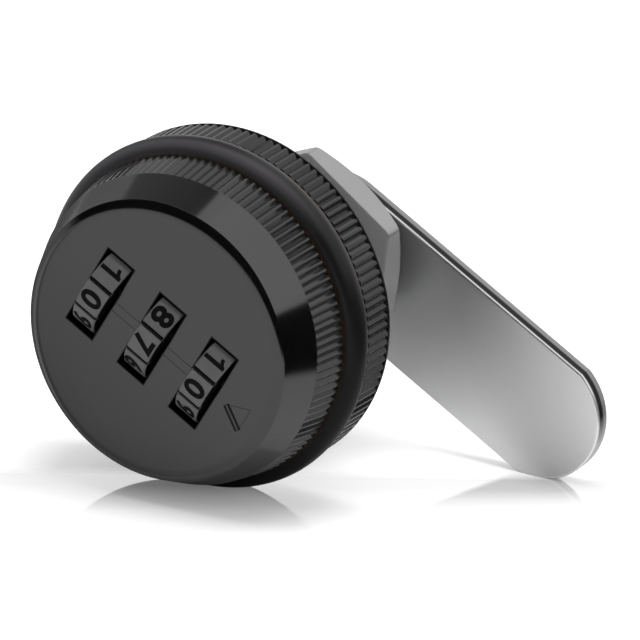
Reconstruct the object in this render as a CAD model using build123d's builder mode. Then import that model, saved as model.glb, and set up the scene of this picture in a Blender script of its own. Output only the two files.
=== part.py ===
from build123d import *
import math
import os

os.makedirs("parts", exist_ok=True)

# A three-wheel combination cam lock for a locker door, in millimetres.
# The origin is the centre of the seating face that bears on the door. The lock's
# axis is Y: the knob stands forward along -Y and the barrel runs back along +Y.
# Heights are counted forward from the seating face, so what lies behind the
# door's front skin has a negative height.

# Clock position of the dial row and the cam, below the horizontal as seen from the front
row_angle = 30.0

# Clearances
running_fit = 0.06
slide_gap = 0.1
part_gap = 0.3

# Seating flange with its plain back lip and knurled rim, and the threaded barrel
flange_thickness = 3.5
rim_inset = 0.36
rim_crown = 0.12
lip_width = 0.2
lip_groove_width = 0.25
lip_groove_depth = 0.3
thread_radius = 9.5
thread_depth = 0.35
thread_gap = 0.05
barrel_across_flats = 16.4
barrel_length = 21.4
barrel_end_chamfer = 0.6

# Straight knurling on the knob and on the flange rim
knurl_count = 122
knurl_depth = 0.28
knurl_crest_share = 0.25

# Spindle that joins the knob to the cam
spindle_radius = 5.0
spindle_flange_radius = 12.6
spindle_flange_thickness = 1.6
spindle_square = 7.0
stop_tab_reach = 1.1
stop_tab_angle = 20.0
stop_tab_clock = 180.0
turn_angle = 90.0
stop_slack_angle = 2.0

# Knob, from its back edge to its face
knob_back_gap = 0.2
skirt_bore_radius = 14.0
skirt_radius = 16.3
skirt_height = 4.2
grip_back_radius = 18.35
grip_front_radius = 17.62
grip_length = 4.3
brow_radius = 15.9
brow_drop = 0.53
face_radius = 14.5
face_thickness = 1.2

# Rubber ring that lies in a channel round the front of the flange
seal_section_radius = 1.7
seal_sink = 0.17
seal_seat_gap = 0.05

# Number wheels
wheel_pitch = 7.5
wheel_radius = 6.05
wheel_width = 3.06
wheel_edge = 0.15
wheel_boss_radius = 2.65
wheel_boss_gap = 0.4
digit_count = 10
groove_width = 0.5
groove_depth = 0.4
row_shift_along = -0.44
row_shift_across = 0.24

# Dial windows in the face
window_width = 3.72
window_length = 10.4

# Axle, sleeves and their gates
axle_radius = 1.0
sleeve_hub_radius = 2.1
gate_disc_radius = 2.7
gate_disc_thickness = 1.9
gate_width = 2.0
gate_depth = 1.2
clip_thickness = 0.5
clip_radius = 2.0
clip_opening = 1.5
axle_end = 0.55
axle_chamfer = 0.2

# Frame plate with two ears that carries the axle
frame_sheet = 0.6
ear_thickness = 1.0
ear_half_width = 2.4
ear_gap = 0.1

# Locking bar
bar_thickness = 0.7
bar_width = 3.0
bar_travel = 0.9
bar_rest_gap = 0.15
finger_thickness = 1.2
finger_width = 1.5
finger_reach = 0.75
lug_length = 1.6
lug_inset = 0.65
wing_length = 1.8
wing_overhang = 1.2

# Bar springs and detent spring
spring_radius = 0.8
spring_wire = 0.2
spring_turns = 4.0
spring_place_along = 10.2
spring_place_across = 5.0
detent_sheet = 0.3
detent_nose = 0.5
detent_foot = 2.4
detent_finger_width = 2.2
detent_root_rise = 4.0

# Screws that hold the spindle and the frame to the knob
screw_radius = 1.0
screw_head_radius = 1.9
screw_head_height = 0.9
screw_length = 7.6
screw_circle = 10.6
screw_spread = 3.6

# Mounting nut
nut_end_distance = 3.7
nut_thickness = 4.0
nut_wall = 1.65
nut_corner_radius = 1.0
nut_edge = 0.2
nut_clock = -5.5
nut_bevel_inset = 0.35
nut_bevel_angle = 40.0

# Cam, washer and cam screw
cam_gap = 0.3
cam_thickness = 2.8
cam_width = 15.3
cam_reach = 38.5
cam_tip_radius = 7.9
cam_front_edge = 0.8
cam_back_edge = 0.25
washer_radius = 5.6
washer_thickness = 1.0
cam_screw_radius = 2.5
cam_screw_depth = 14.0
cam_screw_head_flats = 8.0
cam_screw_head_height = 3.5
cam_screw_grip = 12.5
screw_bevel_angle = 30.0

# Directions: x runs along the dial row towards the cam's tip, y across it, z forward
row_x = math.cos(math.radians(row_angle))
row_z = -math.sin(math.radians(row_angle))
FRONT = Plane(origin=(0, 0, 0), x_dir=(row_x, 0, row_z), z_dir=(0, -1, 0))
SECTION = Plane(origin=(0, 0, 0), x_dir=(row_x, 0, row_z), z_dir=(row_z, 0, -row_x))
TURN_AXIS = Axis((0, 0, 0), (0, -1, 0))

# Heights that follow from the sizes above
knob_back_height = flange_thickness + knob_back_gap
frame_back_height = knob_back_height + knob_back_gap / 2
frame_front_height = frame_back_height + frame_sheet
spindle_back_height = frame_back_height - spindle_flange_thickness
recess_floor_height = spindle_back_height - part_gap
bar_back_height = frame_front_height + bar_travel + bar_rest_gap
bar_front_height = bar_back_height + bar_thickness
axle_height = bar_front_height + part_gap + wheel_radius
gate_rim_height = axle_height - gate_disc_radius
finger_top_height = gate_rim_height + finger_reach
axle_well = max(gate_disc_radius, wheel_boss_radius, ear_half_width, clip_radius) + part_gap
pocket_top_height = axle_height + axle_well
face_height = pocket_top_height + face_thickness
brow_height = face_height - brow_drop
grip_back_height = knob_back_height + skirt_height
grip_front_height = grip_back_height + grip_length
seal_height = grip_back_height - part_gap - seal_section_radius
rim_front_height = seal_height - seal_section_radius + seal_sink
detent_root_height = frame_front_height + detent_root_rise
nut_front_height = -(barrel_length - nut_end_distance - nut_thickness)
spindle_end_height = -(barrel_length + cam_gap)
cam_back_height = spindle_end_height - cam_thickness
washer_back_height = cam_back_height - washer_thickness

# Radii that follow from the sizes above
barrel_radius = thread_radius - thread_depth
rim_bore_radius = skirt_radius + part_gap
seal_radius = rim_bore_radius + seal_section_radius
lip_radius = seal_radius + seal_section_radius - rim_inset
nut_across_flats = 2 * (thread_radius + nut_wall)
nut_bevel_radius = thread_radius + nut_wall - nut_bevel_inset

# Places along the dial row, counted from the middle wheel
stack_half = 1.5 * wheel_pitch
ear_inner = stack_half + ear_gap
ear_outer = ear_inner + ear_thickness
clip_outer = ear_outer + clip_thickness
axle_half = clip_outer + axle_end
gate_disc_end = wheel_pitch / 2
gate_disc_start = gate_disc_end - gate_disc_thickness
bar_half = stack_half - part_gap
wheel_places = [-wheel_pitch, 0.0, wheel_pitch]
lug_place = bar_half - lug_inset - lug_length / 2

# Well in the back of the knob, measured from the dial row
wheel_well_half = wheel_pitch + wheel_width / 2 + 2 * part_gap
wheel_well = wheel_radius + part_gap
spring_well_half = spring_place_along + spring_radius + spring_wire + part_gap
spring_well = spring_place_across + wing_overhang + part_gap
detent_wall = wheel_radius + part_gap + detent_nose
detent_outer = detent_wall + detent_sheet + part_gap

# Frame screws, two on each side of the dial row
screw_rise = math.sqrt(screw_circle**2 - screw_spread**2)
screw_places = [
    (screw_spread, screw_rise),
    (-screw_spread, screw_rise),
    (-screw_spread, -screw_rise),
    (screw_spread, -screw_rise),
]
screw_shank = spindle_flange_thickness - screw_head_height + frame_sheet + screw_length - part_gap


def row_plane(place):
    """Plane square to the dial row at a place on the axle: x is across, y is forward."""
    origin = FRONT.from_local_coords((row_shift_along + place, row_shift_across, axle_height))
    return Plane(origin=origin, x_dir=FRONT.y_dir, z_dir=FRONT.x_dir)


def knurl_points(crest_radius):
    """Corners of a straight-knurled outline: each ridge has a flat crest and a V groove."""
    step = 360.0 / knurl_count
    half_crest = step * knurl_crest_share / 2
    points = []
    for ridge in range(knurl_count):
        middle = ridge * step
        for angle, radius in (
            (middle - half_crest, crest_radius),
            (middle + half_crest, crest_radius),
            (middle + step / 2, crest_radius - knurl_depth),
        ):
            turn = math.radians(angle)
            points.append((radius * math.cos(turn), radius * math.sin(turn)))
    return points


# Flange and barrel are one casting. Its plain forms are made first, then joined to the rim.
with BuildPart() as base_core:
    with BuildSketch(FRONT):
        Circle(lip_radius)
    extrude(amount=lip_width)
    with BuildSketch(FRONT):
        Circle(barrel_radius)
        Rectangle(2 * barrel_radius, barrel_across_flats, mode=Mode.INTERSECT)
    extrude(amount=-barrel_length)
    barrel_end = base_core.faces().sort_by(Axis.Y)[-1]
    chamfer(barrel_end.edges(), barrel_end_chamfer)

# Hollows of the base: bowl inside the raised rim, round channel for the rubber ring,
# spindle bore, flange recess with its stop arc, locking bar notches
with BuildPart() as base_hollows:
    with BuildSketch(FRONT.offset(flange_thickness)):
        Circle(rim_bore_radius)
    extrude(amount=rim_front_height - flange_thickness)
    with BuildSketch(SECTION):
        with Locations((seal_radius, seal_height)):
            Circle(seal_section_radius + seal_seat_gap)
    revolve(axis=TURN_AXIS)
    with BuildSketch(FRONT.offset(flange_thickness)):
        Circle(spindle_radius + running_fit)
    extrude(amount=-(flange_thickness + barrel_length))
    stop_arc_angle = turn_angle + stop_tab_angle + 2 * stop_slack_angle
    stop_arc_start = stop_tab_clock + stop_tab_angle / 2 + stop_slack_angle - stop_arc_angle
    stop_arc_radius = spindle_flange_radius + stop_tab_reach + part_gap
    with BuildSketch(FRONT.offset(flange_thickness)):
        Circle(spindle_flange_radius + part_gap)
        with BuildLine():
            stop_arc = CenterArc((0, 0), stop_arc_radius, stop_arc_start, stop_arc_angle)
            Line(stop_arc @ 1, (0, 0))
            Line((0, 0), stop_arc @ 0)
        make_face()
    extrude(amount=-(flange_thickness - recess_floor_height))
    for notch_turn in (0.0, -turn_angle):
        with BuildSketch(FRONT.offset(recess_floor_height)):
            with Locations(Location((0, 0, 0), (0, 0, notch_turn))):
                with Locations((row_shift_along + lug_place, row_shift_across)):
                    Rectangle(lug_length + 2 * part_gap, bar_width + 2 * part_gap)
        extrude(amount=-bar_travel)

with BuildPart() as base_housing:
    for rim_height, rim_radius in (
        (lip_width, lip_radius - lip_groove_depth),
        (lip_width + lip_groove_width, lip_radius),
        (rim_front_height, lip_radius - rim_crown),
    ):
        with BuildSketch(FRONT.offset(rim_height)):
            with BuildLine():
                Polyline(*knurl_points(rim_radius), close=True)
            make_face()
    loft(ruled=True)
    add(base_core.part)
    add(base_hollows.part, mode=Mode.SUBTRACT)
base_housing.part.label = "base_housing"
export_step(base_housing.part, "parts/base_housing.step")

# Thin hexagon nut that clamps the door against the flange; its back corners are turned off
with BuildPart() as mounting_nut:
    with BuildSketch(FRONT.offset(nut_front_height)) as nut_outline:
        RegularPolygon(nut_across_flats / 2, 6, major_radius=False, rotation=nut_clock)
        fillet(nut_outline.vertices(), nut_corner_radius)
    extrude(amount=-nut_thickness)
    fillet(mounting_nut.faces().sort_by(Axis.Y)[0].edges(), nut_edge)
    nut_back_height = nut_front_height - nut_thickness
    nut_wide = nut_across_flats
    nut_drop = (nut_wide - nut_bevel_radius) * math.tan(math.radians(nut_bevel_angle))
    with BuildSketch(SECTION):
        with BuildLine():
            Polyline(
                (0, nut_back_height),
                (nut_bevel_radius, nut_back_height),
                (nut_wide, nut_back_height + nut_drop),
                (0, nut_back_height + nut_drop),
                close=True,
            )
        make_face()
    revolve(axis=TURN_AXIS, mode=Mode.INTERSECT)
    with BuildSketch(FRONT.offset(nut_front_height)):
        Circle(barrel_radius + thread_gap)
    extrude(amount=-nut_thickness, mode=Mode.SUBTRACT)
mounting_nut.part.label = "mounting_nut"
export_step(mounting_nut.part, "parts/mounting_nut.step")

# Hollows of the knob: seat for the frame plate, stepped well for the wheels, windows, screw holes
with BuildPart() as knob_hollows:
    with BuildSketch(FRONT.offset(knob_back_height)):
        Circle(skirt_bore_radius)
    extrude(amount=frame_front_height - knob_back_height)
    with BuildSketch(FRONT.offset(frame_front_height)):
        with Locations((row_shift_along, row_shift_across + (detent_outer - wheel_well) / 2)):
            Rectangle(2 * wheel_well_half, detent_outer + wheel_well)
        with Locations((row_shift_along, row_shift_across - spring_well / 2)):
            Rectangle(2 * spring_well_half, spring_well)
        with Locations((row_shift_along, row_shift_across)):
            Rectangle(2 * (axle_half + part_gap), 2 * axle_well)
    extrude(amount=pocket_top_height - frame_front_height)
    with BuildSketch(FRONT.offset(pocket_top_height)):
        for place in wheel_places:
            with Locations((row_shift_along + place, row_shift_across)):
                Rectangle(window_width, window_length)
    extrude(amount=face_thickness)
    for place in wheel_places:
        with BuildSketch(row_plane(place - window_width / 2)):
            Circle(wheel_radius + part_gap)
        extrude(amount=window_width)
    with BuildSketch(FRONT.offset(frame_front_height)):
        with Locations(*screw_places):
            Circle(screw_radius)
    extrude(amount=screw_length)

# Knob: skirt inside the rubber ring, tapered knurled grip, bevel and rounded brow
with BuildPart() as knob_housing:
    for grip_height, grip_radius in (
        (grip_back_height, grip_back_radius),
        (grip_front_height, grip_front_radius),
    ):
        with BuildSketch(FRONT.offset(grip_height)):
            with BuildLine():
                Polyline(*knurl_points(grip_radius), close=True)
            make_face()
    loft(ruled=True)
    with BuildSketch(SECTION):
        with BuildLine():
            brow = TangentArc((face_radius, face_height), (brow_radius, brow_height), tangent=(1, 0))
            Line(brow @ 1, (grip_front_radius, grip_front_height))
            Line((grip_front_radius, grip_front_height), (0, grip_front_height))
            Line((0, grip_front_height), (0, face_height))
            Line((0, face_height), brow @ 0)
        make_face()
    revolve(axis=TURN_AXIS)
    with BuildSketch(FRONT.offset(knob_back_height)):
        Circle(skirt_radius)
    extrude(amount=grip_back_height - knob_back_height)
    add(knob_hollows.part, mode=Mode.SUBTRACT)
knob_housing.part.label = "knob_housing"
export_step(knob_housing.part, "parts/knob_housing.step")

# Rubber ring that seals and cushions the gap between the knob and the flange
with BuildPart() as seal_ring:
    with BuildSketch(SECTION):
        with Locations((seal_radius, seal_height)):
            Circle(seal_section_radius)
    revolve(axis=TURN_AXIS)
seal_ring.part.label = "seal_ring"
export_step(seal_ring.part, "parts/seal_ring.step")

# Pressed frame: a round plate trimmed straight where its two ears are folded up
with BuildPart() as wheel_frame:
    with BuildSketch(FRONT.offset(frame_back_height)):
        Circle(skirt_bore_radius - slide_gap)
        with Locations((row_shift_along, 0)):
            Rectangle(2 * ear_outer, 4 * ear_outer, mode=Mode.INTERSECT)
        with Locations((row_shift_along + lug_place, row_shift_across)):
            Rectangle(
                lug_length + 2 * slide_gap, bar_width + 2 * slide_gap, mode=Mode.SUBTRACT
            )
        with Locations(*screw_places):
            Circle(screw_radius + slide_gap, mode=Mode.SUBTRACT)
    extrude(amount=frame_sheet)
    ear_height = axle_height - frame_front_height
    for ear_start, ear_side in ((ear_inner, 1), (-ear_inner, -1)):
        with BuildSketch(row_plane(ear_start)):
            Circle(ear_half_width)
            with Locations((0, -ear_height / 2)):
                Rectangle(2 * ear_half_width, ear_height)
            Circle(axle_radius + running_fit, mode=Mode.SUBTRACT)
        extrude(amount=ear_side * ear_thickness)
wheel_frame.part.label = "wheel_frame"
export_step(wheel_frame.part, "parts/wheel_frame.step")

# Axle through both ears, and the two spring clips that hold it endways
with BuildPart() as wheel_axle:
    with BuildSketch(row_plane(-axle_half)):
        Circle(axle_radius)
    extrude(amount=2 * axle_half)
    chamfer(wheel_axle.edges(), axle_chamfer)
wheel_axle.part.label = "wheel_axle"
export_step(wheel_axle.part, "parts/wheel_axle.step")

for clip_number, clip_side in ((1, -1), (2, 1)):
    with BuildPart() as axle_clip:
        with BuildSketch(row_plane(clip_side * ear_outer)):
            Circle(clip_radius)
            Circle(axle_radius, mode=Mode.SUBTRACT)
            with Locations((0, -clip_radius / 2)):
                Rectangle(clip_opening, clip_radius, mode=Mode.SUBTRACT)
        extrude(amount=clip_side * clip_thickness)
    axle_clip.part.label = f"axle_clip_{clip_number}"
    export_step(axle_clip.part, f"parts/axle_clip_{clip_number}.step")

# Each number wheel turns on the hub of its sleeve. The sleeve's disc has the gate that
# one finger of the locking bar enters at the opening number.
for wheel_number, place in enumerate(wheel_places, start=1):
    with BuildPart() as clutch_sleeve:
        with BuildSketch(row_plane(place - wheel_pitch / 2)):
            Circle(sleeve_hub_radius)
        extrude(amount=wheel_pitch / 2 + gate_disc_start)
        with BuildSketch(row_plane(place + gate_disc_start)):
            Circle(gate_disc_radius)
            with Locations((0, gate_depth / 2 - gate_disc_radius)):
                Rectangle(gate_width, gate_depth, mode=Mode.SUBTRACT)
        extrude(amount=gate_disc_thickness)
        with BuildSketch(row_plane(place - wheel_pitch / 2)):
            Circle(axle_radius + running_fit)
        extrude(amount=wheel_pitch, mode=Mode.SUBTRACT)
    clutch_sleeve.part.label = f"clutch_sleeve_{wheel_number}"
    export_step(clutch_sleeve.part, f"parts/clutch_sleeve_{wheel_number}.step")

    with BuildPart() as number_wheel:
        with BuildSketch(row_plane(place - wheel_width / 2)):
            Circle(wheel_radius)
        extrude(amount=wheel_width)
        chamfer(number_wheel.edges(), wheel_edge)
        with BuildSketch(row_plane(place - wheel_width / 2)):
            with PolarLocations(wheel_radius, digit_count, 90 + 180 / digit_count):
                Rectangle(2 * groove_depth, groove_width)
        extrude(amount=wheel_width, mode=Mode.SUBTRACT)
        with BuildSketch(row_plane(place - wheel_width / 2)):
            Circle(wheel_boss_radius)
        extrude(amount=-(wheel_pitch / 2 - wheel_boss_gap - wheel_width / 2))
        with BuildSketch(row_plane(place - wheel_pitch / 2)):
            Circle(sleeve_hub_radius + running_fit)
        extrude(amount=wheel_pitch, mode=Mode.SUBTRACT)
    number_wheel.part.label = f"number_wheel_{wheel_number}"
    export_step(number_wheel.part, f"parts/number_wheel_{wheel_number}.step")

# Locking bar: a flat spine under the wheels, three fingers for the gates, two wings that
# the springs press on, and a lug that reaches back into the notches of the base
with BuildPart() as locking_bar:
    wing_width = spring_place_across + wing_overhang
    with BuildSketch(FRONT.offset(bar_back_height)):
        with Locations((row_shift_along, row_shift_across)):
            Rectangle(2 * bar_half, bar_width)
        for side in (-1, 1):
            wing_along = row_shift_along + side * spring_place_along
            with Locations((wing_along, row_shift_across - wing_width / 2)):
                Rectangle(wing_length, wing_width)
    extrude(amount=bar_thickness)
    with BuildSketch(FRONT.offset(bar_front_height)):
        for place in wheel_places:
            finger_along = row_shift_along + place + (gate_disc_start + gate_disc_end) / 2
            with Locations((finger_along, row_shift_across)):
                Rectangle(finger_thickness, finger_width)
    extrude(amount=finger_top_height - bar_front_height)
    with BuildSketch(FRONT.offset(bar_back_height)):
        with Locations((row_shift_along + lug_place, row_shift_across)):
            Rectangle(lug_length, bar_width)
    extrude(amount=-(bar_back_height - spindle_back_height))
locking_bar.part.label = "locking_bar"
export_step(locking_bar.part, "parts/locking_bar.step")

# Two coil springs between the bar's wings and the inside of the knob's face
spring_height = pocket_top_height - bar_front_height - 2 * spring_wire
for spring_number, side in ((1, -1), (2, 1)):
    spring_foot = FRONT.from_local_coords(
        (
            row_shift_along + side * spring_place_along,
            row_shift_across - spring_place_across,
            bar_front_height + spring_wire,
        )
    )
    with BuildPart() as bar_spring:
        with BuildLine():
            coil = Helix(
                pitch=spring_height / spring_turns,
                height=spring_height,
                radius=spring_radius,
                center=spring_foot,
                direction=(0, -1, 0),
            )
        with BuildSketch(Plane(origin=coil @ 0, z_dir=coil % 0)):
            RegularPolygon(spring_wire, 6)
        sweep()
    bar_spring.part.label = f"bar_spring_{spring_number}"
    export_step(bar_spring.part, f"parts/bar_spring_{spring_number}.step")

# Comb of three spring fingers whose noses click from groove to groove of the wheels
with BuildPart() as detent_spring:
    comb_half = wheel_pitch + detent_finger_width / 2
    with BuildSketch(FRONT.offset(frame_front_height)):
        with Locations((row_shift_along, row_shift_across + detent_wall + detent_sheet)):
            Rectangle(2 * comb_half, detent_foot, align=(Align.CENTER, Align.MAX))
    extrude(amount=detent_sheet)
    with BuildSketch(FRONT.offset(frame_front_height)):
        with Locations((row_shift_along, row_shift_across + detent_wall)):
            Rectangle(2 * comb_half, detent_sheet, align=(Align.CENTER, Align.MIN))
    extrude(amount=detent_root_height - frame_front_height)
    with BuildSketch(FRONT.offset(detent_root_height)):
        for place in wheel_places:
            with Locations((row_shift_along + place, row_shift_across + detent_wall)):
                Rectangle(
                    detent_finger_width, detent_sheet, align=(Align.CENTER, Align.MIN)
                )
    extrude(amount=axle_height + 2 * detent_nose - detent_root_height)
    for place in wheel_places:
        with BuildSketch(row_plane(place - detent_finger_width / 2)):
            with Locations((detent_wall, 0)):
                Circle(detent_nose)
                Rectangle(
                    2 * detent_nose,
                    2 * detent_nose,
                    align=(Align.MIN, Align.CENTER),
                    mode=Mode.SUBTRACT,
                )
        extrude(amount=detent_finger_width)
detent_spring.part.label = "detent_spring"
export_step(detent_spring.part, "parts/detent_spring.step")

# Spindle: round flange with a stop tab, shaft through the barrel, squared end for the cam
with BuildPart() as spindle:
    with BuildSketch(FRONT.offset(spindle_back_height)):
        Circle(spindle_flange_radius)
        with BuildLine():
            tab_start = stop_tab_clock - stop_tab_angle / 2
            tab_radius = spindle_flange_radius + stop_tab_reach
            tab_arc = CenterArc((0, 0), tab_radius, tab_start, stop_tab_angle)
            Line(tab_arc @ 1, (0, 0))
            Line((0, 0), tab_arc @ 0)
        make_face()
    extrude(amount=spindle_flange_thickness)
    with BuildSketch(FRONT.offset(spindle_back_height)):
        Circle(spindle_radius)
    extrude(amount=-(spindle_back_height - spindle_end_height))
    with BuildSketch(FRONT.offset(spindle_end_height)):
        Rectangle(spindle_square, spindle_square)
    extrude(amount=-(cam_thickness - slide_gap))
    with BuildSketch(FRONT.offset(cam_back_height)):
        Circle(cam_screw_radius)
    extrude(amount=cam_screw_depth, mode=Mode.SUBTRACT)
    with BuildSketch(FRONT.offset(spindle_back_height)):
        with Locations((row_shift_along + lug_place, row_shift_across)):
            Rectangle(lug_length + 2 * slide_gap, bar_width + 2 * slide_gap)
        with Locations(*screw_places):
            Circle(screw_radius)
    extrude(amount=spindle_flange_thickness, mode=Mode.SUBTRACT)
    for screw_place in screw_places:
        with BuildSketch(FRONT.offset(spindle_back_height)):
            with Locations(screw_place):
                Circle(screw_head_radius)
        with BuildSketch(FRONT.offset(spindle_back_height + screw_head_height)):
            with Locations(screw_place):
                Circle(screw_radius)
        loft(mode=Mode.SUBTRACT)
spindle.part.label = "spindle"
export_step(spindle.part, "parts/spindle.step")

# Countersunk screws that clamp the frame between the spindle's flange and the knob
for screw_number, screw_place in enumerate(screw_places, start=1):
    with BuildPart() as frame_screw:
        with BuildSketch(FRONT.offset(spindle_back_height)):
            with Locations(screw_place):
                Circle(screw_head_radius)
        with BuildSketch(FRONT.offset(spindle_back_height + screw_head_height)):
            with Locations(screw_place):
                Circle(screw_radius)
        loft()
        with BuildSketch(FRONT.offset(spindle_back_height + screw_head_height)):
            with Locations(screw_place):
                Circle(screw_radius)
        extrude(amount=screw_shank)
    frame_screw.part.label = f"frame_screw_{screw_number}"
    export_step(frame_screw.part, f"parts/frame_screw_{screw_number}.step")

# Straight cam plate with a shallow round end, squared onto the spindle
with BuildPart() as cam:
    cam_half = cam_width / 2
    tip_centre = cam_reach - cam_tip_radius
    tip_corner = tip_centre + math.sqrt(cam_tip_radius**2 - cam_half**2)
    with BuildSketch(FRONT.offset(spindle_end_height)):
        with BuildLine():
            ThreePointArc((0, cam_half), (-cam_half, 0), (0, -cam_half))
            Line((0, -cam_half), (tip_corner, -cam_half))
            ThreePointArc((tip_corner, -cam_half), (cam_reach, 0), (tip_corner, cam_half))
            Line((tip_corner, cam_half), (0, cam_half))
        make_face()
    extrude(amount=-cam_thickness)
    fillet(cam.faces().sort_by(Axis.Y)[0].edges(), cam_front_edge)
    fillet(cam.faces().sort_by(Axis.Y)[-1].edges(), cam_back_edge)
    with BuildSketch(FRONT.offset(spindle_end_height)):
        Rectangle(spindle_square + slide_gap, spindle_square + slide_gap)
    extrude(amount=-cam_thickness, mode=Mode.SUBTRACT)
cam.part.label = "cam"
export_step(cam.part, "parts/cam.step")

# Washer and hexagon screw that hold the cam on the spindle
with BuildPart() as cam_washer:
    with BuildSketch(FRONT.offset(cam_back_height)):
        Circle(washer_radius)
        Circle(cam_screw_radius + slide_gap, mode=Mode.SUBTRACT)
    extrude(amount=-washer_thickness)
cam_washer.part.label = "cam_washer"
export_step(cam_washer.part, "parts/cam_washer.step")

with BuildPart() as cam_screw:
    with BuildSketch(FRONT.offset(washer_back_height)):
        RegularPolygon(cam_screw_head_flats / 2, 6, major_radius=False)
    extrude(amount=-cam_screw_head_height)
    head_end = washer_back_height - cam_screw_head_height
    head_half = cam_screw_head_flats / 2
    head_drop = head_half * math.tan(math.radians(screw_bevel_angle))
    with BuildSketch(SECTION):
        with BuildLine():
            Polyline(
                (0, head_end),
                (head_half, head_end),
                (2 * head_half, head_end + head_drop),
                (2 * head_half, washer_back_height),
                (0, washer_back_height),
                close=True,
            )
        make_face()
    revolve(axis=TURN_AXIS, mode=Mode.INTERSECT)
    with BuildSketch(FRONT.offset(washer_back_height)):
        Circle(cam_screw_radius)
    extrude(amount=washer_thickness + cam_screw_grip)
cam_screw.part.label = "cam_screw"
export_step(cam_screw.part, "parts/cam_screw.step")
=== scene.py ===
import math

import bmesh
import bpy
from mathutils import Matrix, Vector


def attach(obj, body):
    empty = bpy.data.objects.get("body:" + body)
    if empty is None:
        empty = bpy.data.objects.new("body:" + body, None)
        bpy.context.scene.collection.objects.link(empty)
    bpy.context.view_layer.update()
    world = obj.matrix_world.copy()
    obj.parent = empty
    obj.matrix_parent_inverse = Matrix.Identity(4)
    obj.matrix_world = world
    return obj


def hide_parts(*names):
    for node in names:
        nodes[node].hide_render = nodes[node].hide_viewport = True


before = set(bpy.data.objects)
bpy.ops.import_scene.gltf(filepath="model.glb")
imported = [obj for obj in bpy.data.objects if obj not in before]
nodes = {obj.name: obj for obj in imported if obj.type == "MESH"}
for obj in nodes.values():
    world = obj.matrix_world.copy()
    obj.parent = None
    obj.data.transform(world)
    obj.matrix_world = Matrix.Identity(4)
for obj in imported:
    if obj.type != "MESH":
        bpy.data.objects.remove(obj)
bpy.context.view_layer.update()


# Base housing: a zinc die casting with a knurled seating flange and a threaded barrel with
# two flats. It is tumbled, then coated satin black, so its edges are a little soft.

def start_material(name, roughness, metallic=0.0):
    """A material with its shader, its node tree and an Object-coordinate source."""
    material = bpy.data.materials.new(name)
    material.use_nodes = True
    tree = material.node_tree
    shader = tree.nodes["Principled BSDF"]
    shader.inputs["Roughness"].default_value = roughness
    shader.inputs["Metallic"].default_value = metallic
    place = tree.nodes.new("ShaderNodeTexCoord").outputs["Object"]
    return material, tree, shader, place


def add_noise(tree, place, size, detail=3.0, stretch=(1.0, 1.0, 1.0)):
    """Noise whose blotches are about `size` metres wide, stretched along the axes given."""
    mapping = tree.nodes.new("ShaderNodeMapping")
    mapping.inputs["Scale"].default_value = [1.0 / (size * s) for s in stretch]
    noise = tree.nodes.new("ShaderNodeTexNoise")
    noise.inputs["Scale"].default_value = 1.0
    noise.inputs["Detail"].default_value = detail
    tree.links.new(place, mapping.inputs["Vector"])
    tree.links.new(mapping.outputs["Vector"], noise.inputs["Vector"])
    return noise.outputs["Fac"]


def map_range(tree, value, start, end, low=0.0, high=1.0, smooth=False):
    """Spreads a value so that it is low at start and high at end, and stays so past them."""
    node = tree.nodes.new("ShaderNodeMapRange")
    if smooth:
        node.interpolation_type = "SMOOTHSTEP"
    node.inputs["From Min"].default_value = start
    node.inputs["From Max"].default_value = end
    node.inputs["To Min"].default_value = low
    node.inputs["To Max"].default_value = high
    tree.links.new(value, node.inputs["Value"])
    return node.outputs["Result"]


def add_range(tree, noise, low, high):
    """Spreads a noise value, mostly between 0.3 and 0.7, over low to high."""
    return map_range(tree, noise, 0.3, 0.7, low, high)


def grey(level):
    """A neutral colour."""
    return (level, level, level)


def colour_between(tree, shader, value, dark, light):
    """Base colour that drifts between two tones of the same finish."""
    ramp = tree.nodes.new("ShaderNodeValToRGB")
    ramp.color_ramp.elements[0].position = 0.3
    ramp.color_ramp.elements[0].color = (*dark, 1.0)
    ramp.color_ramp.elements[1].position = 0.7
    ramp.color_ramp.elements[1].color = (*light, 1.0)
    tree.links.new(value, ramp.inputs["Fac"])
    tree.links.new(ramp.outputs["Color"], shader.inputs["Base Color"])


def soft_bump(tree, shader, value, height, edge_radius):
    """Fine relief of `height` metres over edges that are rounded by edge_radius."""
    bevel = tree.nodes.new("ShaderNodeBevel")
    bevel.samples = 6
    bevel.inputs["Radius"].default_value = edge_radius
    bump = tree.nodes.new("ShaderNodeBump")
    bump.inputs["Strength"].default_value = 1.0
    bump.inputs["Distance"].default_value = height
    tree.links.new(value, bump.inputs["Height"])
    tree.links.new(bevel.outputs["Normal"], bump.inputs["Normal"])
    tree.links.new(bump.outputs["Normal"], shader.inputs["Normal"])


def dress(material, *names):
    """Gives CAD nodes their material."""
    for name in names:
        nodes[name].data.materials.clear()
        nodes[name].data.materials.append(material)


def black_coating(name, dark=0.0025, light=0.0034):
    """Satin black coating over die-cast zinc: nearly black itself, with a clear satin reflection."""
    material, tree, shader, place = start_material(name, 0.13)
    shader.inputs["IOR"].default_value = 1.72
    blotches = add_noise(tree, place, size=0.004)
    grain = add_noise(tree, place, size=0.00012, detail=2.0)
    colour_between(tree, shader, blotches, grey(dark), grey(light))
    tree.links.new(add_range(tree, blotches, 0.11, 0.15), shader.inputs["Roughness"])
    soft_bump(tree, shader, grain, height=0.00000012, edge_radius=0.00006)
    return material, tree, shader, place


coating, tree, shader, place = black_coating("satin_black_coating", dark=0.012, light=0.017)
shader.inputs["Specular IOR Level"].default_value = 0.13
dress(coating, "base_housing")


# Thread on the barrel: one fine ridge that winds back along it and stops at the two flats.
# It is cast with the barrel and carries the same coating.

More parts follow.
